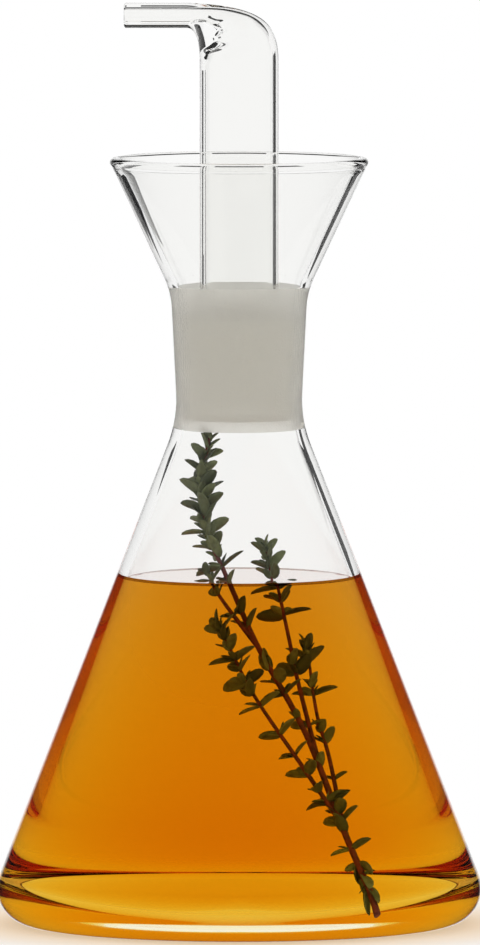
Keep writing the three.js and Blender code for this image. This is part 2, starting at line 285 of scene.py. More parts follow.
def bezier(points, share):
    """A Bezier curve of any degree: control points weighted by the Bernstein polynomials at each share."""
    degree = len(points) - 1
    k = np.arange(degree + 1)
    ways = np.array([math.comb(degree, i) for i in k])
    weights = ways * share[:, None] ** k * (1 - share[:, None]) ** (degree - k)
    return weights @ np.asarray(points)


def grid_quads(rows, columns, closed):
    """Quads of a grid of rows whose columns wrap round, and whose last row meets the first if closed."""
    row = np.arange(rows if closed else rows - 1)[:, None]
    column = np.arange(columns)
    after = (column + 1) % columns
    above = (row + 1) % rows
    low, high = row * columns, above * columns
    corners = np.broadcast_arrays(low + column, low + after, high + after, high + column)
    return np.stack(corners, axis=-1).reshape(-1, 4)


def capped(rings, poles):
    """Vertices and face arrays of stacks of rings, each stack closed by a pole at either end: triangles
    round the first pole, quads between the rings, and triangles round the last pole."""
    rows, columns = rings.shape[-3:-1]
    vertices = np.concatenate((rings.reshape(-1, rows * columns, 3), poles.reshape(-1, 2, 3)), axis=1)
    stacks, size = vertices.shape[:2]
    column = np.arange(columns)
    after = (column + 1) % columns
    last = (rows - 1) * columns
    low = np.column_stack((np.full(columns, size - 2), after, column))
    high = np.column_stack((last + column, last + after, np.full(columns, size - 1)))
    blocks = (low, grid_quads(rows, columns, False), high)
    start = np.arange(stacks)[:, None, None] * size
    return vertices.reshape(-1, 3), [(start + block).reshape(-1, block.shape[1]) for block in blocks]


def revolved(profile, sides):
    """Vertices and face arrays of a profile (r, z) turned about Z: a ring of r cos, r sin, z for each inner
    point, and the two end points, which lie on the axis, as poles."""
    turn = np.linspace(0, 2 * math.pi, sides, endpoint=False)
    r, z = profile[1:-1, :1], profile[1:-1, 1:]
    rings = np.stack((r * np.cos(turn), r * np.sin(turn), z + 0 * turn), axis=-1)
    poles = np.array([(0, 0, profile[0, 1]), (0, 0, profile[-1, 1])])
    return capped(rings, poles)


def face_count(blocks):
    """The number of faces in a list of face arrays."""
    return sum(map(len, blocks))


def piece(name, vertices, blocks, materials, slots=None):
    """A smooth-shaded mesh object at the origin. Slots gives each face's material index."""
    mesh = bpy.data.meshes.new(name)
    mesh.from_pydata(vertices, [], [face for block in blocks for face in block.tolist()])
    for material in materials:
        mesh.materials.append(material)
    if slots is not None:
        mesh.polygons.foreach_set("material_index", slots.astype(np.int32))
    mesh.polygons.foreach_set("use_smooth", np.ones(face_count(blocks), dtype=bool))
    mesh.update()
    made = bpy.data.objects.new(name, mesh)
    bpy.context.scene.collection.objects.link(made)
    return made


def paint(made, name, kind, domain, field, values):
    """Keeps one value for each face or point of a piece as a named attribute."""
    made.data.attributes.new(name, kind, domain).data.foreach_set(field, values.ravel())


def stands_for(made, node, body):
    """Rides the piece on its body in place of a CAD node, and hides that node."""
    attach(made, body)
    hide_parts(node)


# Shapes of the glass

def flask_lines(flask):
    """The straight lines of the flask's section as functions r(z), and the heights where they meet."""
    lean = math.tan(flask.cone_angle)
    spread = math.tan(flask.funnel_angle)
    joint_top = SEAT_FOOT + flask.joint_length
    socket_foot = flask.joint_diameter / 2 - flask.joint_slope * flask.joint_length
    lines = SimpleNamespace(
        joint_bottom=SEAT_FOOT,
        joint_top=joint_top,
        heel_centre=flask.body_radius - flask.heel_radius,
        cone=lambda z: socket_foot + flask.neck_wall + lean * (SEAT_FOOT - z),
        socket=lambda z: socket_foot + flask.joint_slope * (z - SEAT_FOOT),
        funnel=lambda z: flask.joint_diameter / 2 + spread * (z - joint_top),
    )
    lines.hollow = lines.heel_centre - flask.foot_ring
    lines.inside = lambda z: lines.cone(z) - flask.body_wall / math.cos(flask.cone_angle)
    lines.neck = lambda z: lines.socket(z) + flask.neck_wall
    lines.funnel_outside = lambda z: lines.funnel(z) + flask.funnel_wall / math.cos(flask.funnel_angle)
    return lines


def meeting(line_a, line_b):
    """The height at which two straight lines r(z) meet."""
    gap = line_a(0) - line_b(0)
    return gap / (gap - line_a(1) + line_b(1))


def inside_corners(flask, lines, inset):
    """Corners of the body's inside from the middle of its floor to the foot of the wall, in by inset."""
    floor = flask.punt_edge + flask.base + inset
    wall = lines.inside(floor) - inset / math.cos(flask.cone_angle)
    return [
        (0, flask.punt + flask.base + inset, 0),
        (lines.hollow, floor, 0),
        (wall, floor, flask.inner_heel - inset),
    ]


def flask_profile(flask, brim):
    """The closed section of the flask: foot, heel, cone, neck and funnel outside, round the bead, and down
    inside. Also where along it the ground socket begins and ends, and where oil begins to wet the glass."""
    lines = flask_lines(flask)
    throat = meeting(lines.funnel_outside, lines.neck)
    rim = flask.rim_radius - flask.bead_radius
    rim_height = meeting(lambda z: (lines.funnel(z) + lines.funnel_outside(z)) / 2, lambda z: rim)
    under_bead = rim_height - 2 * flask.bead_radius
    entry = meeting(lines.inside, lines.socket)
    outside = rounded([
        (0, flask.punt, 0),
        (lines.hollow, flask.punt_edge, flask.punt_blend),
        (lines.hollow, 0, 0),
        (lines.cone(0), 0, flask.heel_radius),
        (lines.neck(lines.joint_bottom), lines.joint_bottom, flask.neck_blend),
        (lines.neck(throat), throat, flask.funnel_blend),
        (lines.funnel_outside(under_bead), under_bead, 0),
    ])
    half_mouth = math.asin(flask.funnel_wall / 2 / flask.bead_radius)
    down = -math.pi / 2 - flask.funnel_angle
    bead = arc((rim, rim_height), flask.bead_radius, down + half_mouth, down + 2 * math.pi - half_mouth)
    funnel = evenly(np.array([(lines.funnel(z), z) for z in (under_bead, lines.joint_top)]), LINE_STEP)
    body = rounded(inside_corners(flask, lines, 0) + [
        (lines.inside(brim), brim, 0),
        (lines.socket(entry), entry, flask.neck_blend),
        (lines.socket(lines.joint_top), lines.joint_top, 0),
    ])[::-1]
    before = np.vstack((evenly(outside, LINE_STEP), bead, funnel[:-1]))
    inside = evenly(body, LINE_STEP)
    ends = [np.count_nonzero(inside[:, 1] > height) for height in (lines.joint_top, entry, brim)]
    return np.vstack((before, inside)), len(before) + np.array(ends)


def spout_stations(flask, spout, inset):
    """The spout's sections from seat to tip, each by the near and far ends of its diameter in the XZ plane:
    two straight runs joined by Bezier curves, with a sine wave on the lip inside. Inset is zero for the
    outside and one for the bore. Also how many stations are in the ground seat."""
    lines = flask_lines(flask)
    top = SEAT_FOOT + spout.seat_length
    axis = SPOUT_TOP - spout.spout_radius
    tube = spout.tube_radius - inset * spout.tube_wall
    ring = spout.spout_radius - inset * (spout.spout_radius - spout.bore_radius)
    bend = SPOUT_TOP - spout.head_height
    root = -spout.tube_radius - spout.spout_root

    def seat(z):
        return lines.socket(z) - spout.seat_gap - inset * spout.seat_wall

    upright = evenly(rounded([
        (seat(SEAT_FOOT), SEAT_FOOT, 0),
        (seat(top), top, spout.shoulder_blend),
        (tube, top + spout.shoulder, spout.shoulder_blend),
        (tube, bend, 0),
    ]), LINE_STEP)
    share = np.linspace(0, 1, HEAD_RINGS + 1)[1:]
    if inset:
        high, bulge = axis - ring, -tube + spout.lip
        low = high - spout.lip_height
        crotch = bezier([
            (-tube, bend), (-tube, low), (bulge, low), (bulge, high), (-tube, high), (root, high),
        ], share)
        lumps = spout.lip_lumps * np.sin(LIP_WAVES * 2 * math.pi * share) * np.sin(math.pi * share)
        crotch = crotch + np.column_stack((lumps, 0 * share))
    else:
        crotch = bezier([(-tube, bend), (-tube, axis - ring), (root, axis - ring)], share)
    crown = bezier([
        (tube, bend),
        (tube, bend + spout.head_shoulder - inset * spout.tube_wall),
        (root + spout.head_roof - inset * spout.tube_wall, axis + ring - spout.roof_fall),
        (root, axis + ring),
    ], share)
    lip = (spout.spout_radius - spout.bore_radius) / 2
    straight = evenly(np.array([(root, ring), (SPOUT_TIP + lip, ring)]), LINE_STEP)[1:]
    if not inset:
        polished = arc((SPOUT_TIP + lip, spout.spout_radius - lip), lip, math.pi / 2, math.pi * 3 / 2)
        straight = np.vstack((straight, polished[1:-1]))
    near = np.vstack((upright * (-1, 1), crotch, straight * (1, -1) + (0, axis)))
    far = np.vstack((upright, crown, straight + (0, axis)))
    return near, far, np.count_nonzero(upright[:, 1] < top)


def spout_rings(flask, spout):
    """A closed loop of round sections, up the outside and back down the bore: a point of a section is its
    centre plus half its diameter times the cosine of the turn, and its radius times the sine along Y. The
    vent groove is cut into the seat's +X side, deepest over the middle half of its width and half as deep at
    its edges. Also how many sections are in the ground seat."""
    near, far, seat_rings = spout_stations(flask, spout, 0)
    bore_near, bore_far, _ = spout_stations(flask, spout, 1)
    near = np.vstack((near, bore_near[::-1]))
    far = np.vstack((far, bore_far[::-1]))
    centre, reach = (near + far) / 2, (far - near) / 2
    turn = np.linspace(0, 2 * math.pi, SPOUT_SIDES, endpoint=False)
    x, z = (centre[:, k:k + 1] + reach[:, k:k + 1] * np.cos(turn) for k in (0, 1))
    y = np.linalg.norm(reach, axis=1)[:, None] * np.sin(turn)
    seat = (np.arange(len(near)) <= seat_rings)[:, None] & (np.cos(turn) > 0)
    x = x - spout.vent_depth * seat * np.clip(1.5 - np.abs(y) / spout.vent_width * 2, 0, 1)
    return np.stack((x, y, z), axis=-1), seat_rings


def oil_profile(flask, contents):
    """The oil's section: up the inside of the glass to its brim, and in along its surface, which stands
    above the level by the meniscus rise times the exponential of minus the distance from the glass over the
    meniscus width. Surface points lie at squares of even shares. Also how many points touch the glass."""
    lines = flask_lines(flask)
    inset = -contents.oil_overlap
    brim = contents.oil_level + contents.meniscus_rise
    # The band under the brim carries the painted dark edge line of shade.
    band = brim - contents.painted_shade_band
    edge, band_edge = (lines.inside(z) - inset / math.cos(flask.cone_angle) for z in (brim, band))
    wet = evenly(rounded(
        inside_corners(flask, lines, inset) + [(band_edge, band, 0), (edge, brim, 0)]
    ), LINE_STEP)
    away = edge * np.linspace(0, 1, SURFACE_RINGS)[1:] ** 2
    climb = contents.meniscus_rise * np.exp(-away / contents.meniscus_width)
    surface = np.column_stack((edge - away, contents.oil_level + climb))
    return np.vstack((wet, surface)), len(wet)


# Thyme

# A route point is (height, side, front): shares of the inside height, and of the inside radius there.
# A leaf node is (share of the shoot's length, bearing of its pair in degrees, opening from the stem in
# degrees, leaf length in millimetres, count of small leaves in its axils).
STEM_ROUTE = (
    (0.011, 0.555, 0.67), (0.153, 0.47, 0.59), (0.358, 0.358, 0.59), (0.534, 0.125, 0.58),
    (0.68, -0.108, 0.52), (0.777, -0.344, 0.44), (0.883, -0.5, 0.3), (0.961, -0.5, 0.2),
)
STEM_NODES = (
    (0.05, 15, 150, 5, 1), (0.075, 75, 145, 6, 2), (0.1, 20, 140, 5.5, 1), (0.13, 10, 70, 5, 1),
    (0.165, 80, 40, 5.5, 2), (0.185, 20, 65, 6, 3), (0.205, 60, 55, 6, 3), (0.225, 5, 60, 5.5, 2),
    (0.3, 40, 35, 4, 0), (0.4, 70, 30, 4, 0), (0.455, 15, 60, 5, 2), (0.48, 60, 50, 5.5, 2),
    (0.51, 80, 30, 6, 2), (0.6, 15, 40, 5, 2), (0.63, 75, 45, 5, 2), (0.7, 40, 40, 4.5, 1),
    (0.735, 5, 65, 6.5, 2), (0.755, 80, 40, 6, 3), (0.775, 25, 55, 6, 3), (0.795, 65, 45, 6.5, 3),
    (0.81, 5, 60, 6.5, 3), (0.825, 50, 45, 6, 3), (0.84, 85, 40, 6.5, 3), (0.855, 20, 60, 6.5, 3),
    (0.87, 60, 45, 6, 3), (0.885, 0, 50, 6, 3), (0.9, 40, 45, 5.5, 3), (0.915, 80, 40, 5.5, 3),
    (0.93, 15, 50, 5, 3), (0.945, 55, 40, 5, 3), (0.96, 0, 45, 4.5, 3), (0.975, 45, 30, 4.5, 3),
    (0.99, 10, 20, 4, 3),
)
# A shoot is (share of the stem's length where it forks off, route, leaf nodes).
SHOOTS = (
    (0.3, ((0.459, 0.351, 0.52), (0.561, 0.328, 0.5), (0.741, 0.257, 0.4)), (
        (0.19, 10, 75, 4.5, 1), (0.42, 20, 50, 5.5, 3), (0.46, 70, 40, 5, 2), (0.68, 10, 70, 6.5, 2),
        (0.74, 40, 60, 5.5, 2), (0.8, 10, 75, 6.5, 2), (0.86, 60, 50, 5.5, 3), (0.9, 20, 55, 5.5, 3),
        (0.94, 70, 40, 5, 3), (0.97, 0, 35, 4.5, 3), (0.99, 50, 20, 4, 2),
    )),
    (0.17, ((0.305, 0.455, 0.53), (0.4, 0.43, 0.52), (0.531, 0.442, 0.48)), (
        (0.28, 30, 60, 4, 2), (0.48, 10, 45, 5, 2), (0.54, 70, 40, 4.5, 1), (0.74, 5, 60, 5.5, 2),
        (0.78, 60, 35, 4.5, 2), (0.92, 10, 40, 6, 3), (0.96, 60, 30, 5.5, 3), (0.99, 0, 20, 4.5, 2),
    )),
    (0.19, ((0.293, 0.32, 0.63), (0.443, 0.08, 0.64), (0.58, -0.14, 0.64)), (
        (0.1, 5, 80, 5.5, 2), (0.15, 60, 55, 5, 2), (0.24, 30, 50, 5.5, 1), (0.34, 10, 60, 5, 1),
        (0.45, 15, 65, 5.5, 2), (0.6, 10, 75, 6, 2), (0.66, 70, 50, 5.5, 3), (0.72, 20, 65, 6, 3),
        (0.78, 60, 50, 5.5, 3), (0.83, 5, 60, 6, 3), (0.88, 45, 50, 5.5, 3), (0.93, 80, 40, 5.5, 3),
        (0.97, 15, 40, 5, 3), (0.99, 60, 25, 4.5, 2),
    )),
    (0.56, ((0.628, -0.12, 0.6), (0.687, -0.28, 0.56)), (
        (0.4, 20, 45, 4, 1), (0.7, 60, 50, 4.5, 2), (0.9, 10, 55, 5, 3), (0.98, 60, 30, 4, 2),
    )),
)


def route_places(flask, route):
    """Places of route points inside the flask: x and y are shares of the inside radius at each height."""
    lines = flask_lines(flask)
    height, side, front = np.array(route).T
    floor = flask.punt_edge + flask.base
    z = floor + height * (lines.joint_bottom - floor)
    return np.column_stack((side * lines.inside(z), -front * lines.inside(z), z))


def smooth_path(places):
    """A Catmull-Rom curve through the places: on each span the cubic whose slope at a place is half the
    step between its two neighbours."""
    padded = np.vstack((2 * places[0] - places[1], places, 2 * places[-1] - places[-2]))
    along = np.linspace(0, len(places) - 1, PATH_POINTS)
    span = np.minimum(along.astype(int), len(places) - 2)
    u = (along - span)[:, None]
    a, b, c, d = (padded[span + k] for k in range(4))
    square, cube = a - 2.5 * b + 2 * c - d / 2, 1.5 * (b - c) + (d - a) / 2
    return b + u * (c - a) / 2 + u ** 2 * square + u ** 3 * cube


def unit(vectors):
    """The vectors at length one."""
    return vectors / np.linalg.norm(vectors, axis=-1, keepdims=True)


def path_frames(path, shares):
    """Place, tangent, and the two directions across the path, at shares of its length."""
    run = np.concatenate(([0], np.cumsum(np.linalg.norm(np.diff(path, axis=0), axis=1))))
    slope = np.gradient(path, run, axis=0)
    place, tangent = (
        np.column_stack([np.interp(shares * run[-1], run, column) for column in each.T])
        for each in (path, slope)
    )
    tangent = unit(tangent)
    side = unit(np.cross(tangent, (0, 1, 0)))
    return place, tangent, side, np.cross(side, tangent)


def stem_tube(path, thick, thin):
    """A round stem: rings across the path, whose radius tapers evenly from thick to thin, closed by the
    path's two end points."""
    shares = np.linspace(0, 1, STEM_RINGS)
    place, _, side, front = path_frames(path, shares)
    turn = np.linspace(0, 2 * math.pi, STEM_SIDES, endpoint=False)[:, None]
    radius = (thick + (thin - thick) * shares)[:, None, None]
    rings = place[:, None] + radius * (np.cos(turn) * side[:, None] + np.sin(turn) * front[:, None])
    return capped(rings, place[[0, -1]])


def leaf_blades(path, nodes, contents, rng):
    """Leaves of one shoot. Each is a stack of flat ovals along its midrib: half width and half thickness
    follow the square root of u to the leaf's fullness times (1 - u), the sides fold up and the tip curls
    back with u squared. Returns the rings, the poles and each leaf's own shade."""
    place, bearing, opening, size, small = np.array(nodes, dtype=float).T
    counts = 2 + small.astype(int)
    node = np.repeat(np.arange(len(counts)), counts)
    rank = np.arange(counts.sum()) - np.repeat(np.cumsum(counts) - counts, counts)
    axil = rank >= 2
    spread = rng.uniform(-1, 1, (4, len(node)))
    around = np.where(axil, AXIL_START + AXIL_TURN * rank, PAIR_TURN * rank)
    around = np.radians(bearing[node] + around + BEARING_SPREAD * spread[0])[:, None]
    lean = np.radians(opening[node] * np.where(axil, AXIL_OPENING, 1) + OPENING_SPREAD * spread[1])[:, None]
    long = size[node] * MM * np.where(axil, AXIL_SIZE, 1) * (1 + SIZE_SPREAD * spread[2])
    roll = ROLL_SPREAD * spread[3][:, None]
    foot, tangent, side, front = (each[node] for each in path_frames(path, place))
    out = np.cos(around) * side + np.sin(around) * front
    way = np.cos(lean) * tangent + np.sin(lean) * out
    face = np.sin(lean) * tangent - np.cos(lean) * out
    across = np.cross(way, face)
    across, face = np.cos(roll) * across + np.sin(roll) * face, np.cos(roll) * face - np.sin(roll) * across
    u = np.array(LEAF_STATIONS)[:, None]
    turn = np.linspace(0, 2 * math.pi, LEAF_SIDES, endpoint=False)
    swell = np.sqrt(u ** LEAF_FULLNESS * (1 - u))
    wide = contents.leaf_width * swell * np.cos(turn)
    high = contents.leaf_thickness * swell * np.sin(turn) + LEAF_FOLD * np.abs(wide) - LEAF_CURL * u ** 2
    steps = np.stack(np.broadcast_arrays(wide, u, high), axis=-1)
    basis = np.stack((across, way, face), axis=1) * long[:, None, None]
    rings = foot[:, None, None] + np.einsum("rsk,lkx->lrsx", steps, basis)
    poles = np.stack((foot, foot + basis[:, 1] - LEAF_CURL * basis[:, 2]), axis=1)
    return rings, poles, rng.uniform(0, 1, len(node))


# Materials

def add_node(tree, kind, inputs=None, **settings):
    """Adds a node with its settings. Inputs maps a socket's name or number to a value or another socket."""
    made = tree.nodes.new(kind)
    for name, value in settings.items():
        setattr(made, name, value)
    for socket, value in (inputs or {}).items():
        if isinstance(value, bpy.types.NodeSocket):
            tree.links.new(value, made.inputs[socket])
        else:
            made.inputs[socket].default_value = value
    return made


def new_material(name):
    """An empty node material and its node tree."""
    material = bpy.data.materials.new(name)
    material.use_nodes = True
    material.node_tree.nodes.clear()
    return material, material.node_tree


def borosilicate_glass(name, tint, index):
    """Blown borosilicate glass, fire polished: clear, almost without tint, and perfectly smooth. Where oil
    wets it the index is that of glass against oil, so the wall all but vanishes."""
    material, tree = new_material(name)
    surface = add_node(tree, "ShaderNodeBsdfPrincipled", {
        "Base Color": tint, "Roughness": 0.0, "IOR": index, "Transmission Weight": 1.0,
    }).outputs[0]
    add_node(tree, "ShaderNodeOutputMaterial", {"Surface": surface})
    return material


def ground_glass(finishes):
    """Borosilicate glass ground with fine grit: it scatters light, so it looks white and frosted, with a
    faint grain."""
    material, tree = new_material("ground_borosilicate_glass")
    place = add_node(tree, "ShaderNodeTexCoord").outputs["Object"]
    grit = add_node(tree, "ShaderNodeTexNoise", {"Vector": place, "Scale": 1 / GRIT_SIZE}).outputs["Fac"]
    grain = add_node(tree, "ShaderNodeBump", {
        "Strength": 0.3, "Distance": GRIT_SIZE, "Height": grit,
    }).outputs[0]
    surface = add_node(tree, "ShaderNodeBsdfPrincipled", {
        "Base Color": finishes.ground, "Roughness": 0.6, "IOR": GLASS_IOR, "Transmission Weight": 0.5,
        "Normal": grain,
    }).outputs[0]
    add_node(tree, "ShaderNodeOutputMaterial", {"Surface": surface})
    return material


def olive_oil(finishes):
    """Clear olive oil: it takes out blue and green with depth, and its wall has painted shade, a tint that
    grows darker and redder towards the top. Its free surface bends light and mirrors at a low look, its edge
    against the glass is a painted dark line of shade, and where it wets the glass there is nothing to bend,
    as the glass already did."""
    material, tree = new_material("olive_oil")
    free = add_node(tree, "ShaderNodeAttribute", attribute_name="free_surface").outputs["Fac"]
    tint = add_node(tree, "ShaderNodeAttribute", attribute_name="oil_painted_shade").outputs["Color"]
    index = add_node(tree, "ShaderNodeMix", {0: free, 2: 1.0, 3: OIL_IOR}).outputs[0]
    surface = add_node(tree, "ShaderNodeBsdfPrincipled", {
        "Base Color": tint, "Roughness": 0.0, "IOR": index, "Transmission Weight": 1.0,
        "Coat Weight": free, "Coat Roughness": 0.0, "Coat IOR": SURFACE_COAT_IOR,
    }).outputs[0]
    depth = add_node(tree, "ShaderNodeVolumeAbsorption", {
        "Color": finishes.oil, "Density": OIL_DENSITY,
    }).outputs[0]
    add_node(tree, "ShaderNodeOutputMaterial", {"Surface": surface, "Volume": depth})
    return material


def thyme_leaf(finishes):
    """Fresh thyme leaves: small, matt, leathery and finely pitted, dark olive with paler mottling, and each
    leaf a little different."""
    material, tree = new_material("thyme_leaf")
    shade = add_node(tree, "ShaderNodeAttribute", attribute_name="leaf_shade").outputs["Fac"]
    place = add_node(tree, "ShaderNodeTexCoord").outputs["Object"]
    mottle = add_node(tree, "ShaderNodeTexNoise", {
        "Vector": place, "Scale": 1 / MOTTLE_SIZE, "Detail": 2.0,
    }).outputs["Fac"]
    tone = add_node(tree, "ShaderNodeMath", {0: shade, 1: mottle}, operation="MULTIPLY").outputs[0]
    ramp = add_node(tree, "ShaderNodeValToRGB", {0: tone})
    dark, pale = ramp.color_ramp.elements
    dark.color = finishes.leaf_dark
    pale.color = finishes.leaf_pale
    pale.position = 0.6
    pits = add_node(tree, "ShaderNodeBump", {
        "Strength": 0.3, "Distance": PIT_DEPTH, "Height": mottle,
    }).outputs[0]
    surface = add_node(tree, "ShaderNodeBsdfPrincipled", {
        "Base Color": ramp.outputs[0], "Roughness": 0.6, "Normal": pits,
    }).outputs[0]
    add_node(tree, "ShaderNodeOutputMaterial", {"Surface": surface})
    return material


def thyme_bark(finishes):
    """Thin woody thyme stems: matt red-brown bark with small darker flecks."""
    material, tree = new_material("thyme_bark")
    place = add_node(tree, "ShaderNodeTexCoord").outputs["Object"]
    flecks = add_node(tree, "ShaderNodeTexNoise", {
        "Vector": place, "Scale": 1 / BARK_FLECK, "Detail": 3.0,
    }).outputs["Fac"]
    ramp = add_node(tree, "ShaderNodeValToRGB", {0: flecks})
    dark, pale = ramp.color_ramp.elements
    dark.color = finishes.bark
    pale.color = finishes.stem
    dark.position = 0.35
    pale.position = 0.65
    surface = add_node(tree, "ShaderNodeBsdfPrincipled", {
        "Base Color": ramp.outputs[0], "Roughness": 0.65,
    }).outputs[0]
    add_node(tree, "ShaderNodeOutputMaterial", {"Surface": surface})
    return material


# Pieces

class CRUET_OT_flask(bpy.types.Operator):
    """Blow the flask: body, ground neck and drip funnel in one shell"""

    bl_idname = "cruet.flask"
    bl_label = "Flask"

    def execute(self, context):
        scene = context.scene
        contents, tint = scene.cruet_contents, scene.cruet_finishes.glass
        brim = contents.oil_level + contents.meniscus_rise
        profile, (first, last, wet) = flask_profile(scene.cruet_flask, brim)
        vertices, blocks = revolved(profile, FLASK_SIDES)
        segment = np.arange(face_count(blocks)) // FLASK_SIDES
        slots = np.select([segment < first, segment < last, segment < wet], [0, 1, 0], 2)
        materials = [
            borosilicate_glass("borosilicate_glass", tint, GLASS_IOR),
            ground_glass(scene.cruet_finishes),
            borosilicate_glass("oiled_borosilicate_glass", tint, GLASS_IOR / OIL_IOR),
        ]
        made = piece("flask_glass", vertices, blocks, materials, slots)
        stands_for(made, "flask", "flask")
        return {"FINISHED"}


class CRUET_OT_pour_spout(bpy.types.Operator):
    """Draw the hollow pour spout: ground seat with a vent groove, upright tube, bent head and level spout"""

    bl_idname = "cruet.pour_spout"
    bl_label = "Pour spout"

    def execute(self, context):
        rings, seat_rings = spout_rings(context.scene.cruet_flask, context.scene.cruet_spout)
        faces = grid_quads(len(rings), SPOUT_SIDES, True)
        slots = np.arange(len(faces)) // SPOUT_SIDES < seat_rings
        names = ("borosilicate_glass", "ground_borosilicate_glass")
        materials = [bpy.data.materials[name] for name in names]
        made = piece("pour_spout_glass", rings.reshape(-1, 3), [faces], materials, slots)
        stands_for(made, "pour_spout", "pour_spout")
        return {"FINISHED"}


class CRUET_OT_oil(bpy.types.Operator):
    """Fill the flask with oil, with a meniscus against the glass"""

    bl_idname = "cruet.oil"
    bl_label = "Oil"

    def execute(self, context):
        scene = context.scene
        flask, contents, finishes = scene.cruet_flask, scene.cruet_contents, scene.cruet_finishes
        profile, wet = oil_profile(flask, contents)
        vertices, blocks = revolved(profile, OIL_SIDES)
        made = piece("oil_fill", vertices, blocks, [olive_oil(finishes)])
        segment = np.arange(face_count(blocks))[:, None] // OIL_SIDES
        free = segment >= wet - 1
        # The wall's painted shade deepens evenly from the heel's height to the oil's level.
        rise = (profile[segment + 1, 1] - flask.heel_radius) / (contents.oil_level - flask.heel_radius)
        rise = np.where(free, 0, np.clip(rise, 0, 1))
        wall = 1 + rise * (np.array(finishes.oil_wall_shade) - 1)
        # Painted shade: the band under the brim is painted as a dark line, the rest of the wall with its
        # shade tint.
        tint = np.where(segment == wet - 2, finishes.oil_edge_shade, wall)
        paint(made, "free_surface", "FLOAT", "FACE", "value", free.astype(float))
        paint(made, "oil_painted_shade", "FLOAT_COLOR", "FACE", "color", tint)
        stands_for(made, "oil", "flask")
        return {"FINISHED"}


class CRUET_OT_thyme(bpy.types.Operator):
    """Grow the thyme sprig: a leaning stem, its side shoots and their leaves"""

    bl_idname = "cruet.thyme"
    bl_label = "Thyme sprig"

    def execute(self, context):
        scene = context.scene
        flask, contents, finishes = scene.cruet_flask, scene.cruet_contents, scene.cruet_finishes
        rng = np.random.default_rng(contents.leaf_seed)
        stem = smooth_path(route_places(flask, STEM_ROUTE))
        shoots = [(stem, STEM_NODES, contents.stem_radius)]
        for fork, route, nodes in SHOOTS:
            start = path_frames(stem, np.array([fork]))[0]
            path = smooth_path(np.vstack((start, route_places(flask, route))))
            shoots.append((path, nodes, contents.shoot_radius))
        vertices, blocks, slots, shades = [], [], [], []
        for path, nodes, thick in shoots:
            rings, poles, leaf_shades = leaf_blades(path, nodes, contents, rng)
            wood = stem_tube(path, thick, thick / 2), np.zeros(1)
            leaves = capped(rings, poles), leaf_shades
            for slot, ((places, faces), shade) in enumerate((wood, leaves)):
                start = sum(map(len, vertices))
                vertices.append(places)
                blocks.extend(start + block for block in faces)
                slots.append(np.full(face_count(faces), slot))
                shades.append(np.repeat(shade, len(places) // len(shade)))
        materials = [thyme_bark(finishes), thyme_leaf(finishes)]
        made = piece("thyme_sprig_leafy", np.vstack(vertices), blocks, materials, np.concatenate(slots))
        paint(made, "leaf_shade", "FLOAT", "POINT", "value", np.concatenate(shades))
        stands_for(made, "thyme_sprig", "flask")
        return {"FINISHED"}


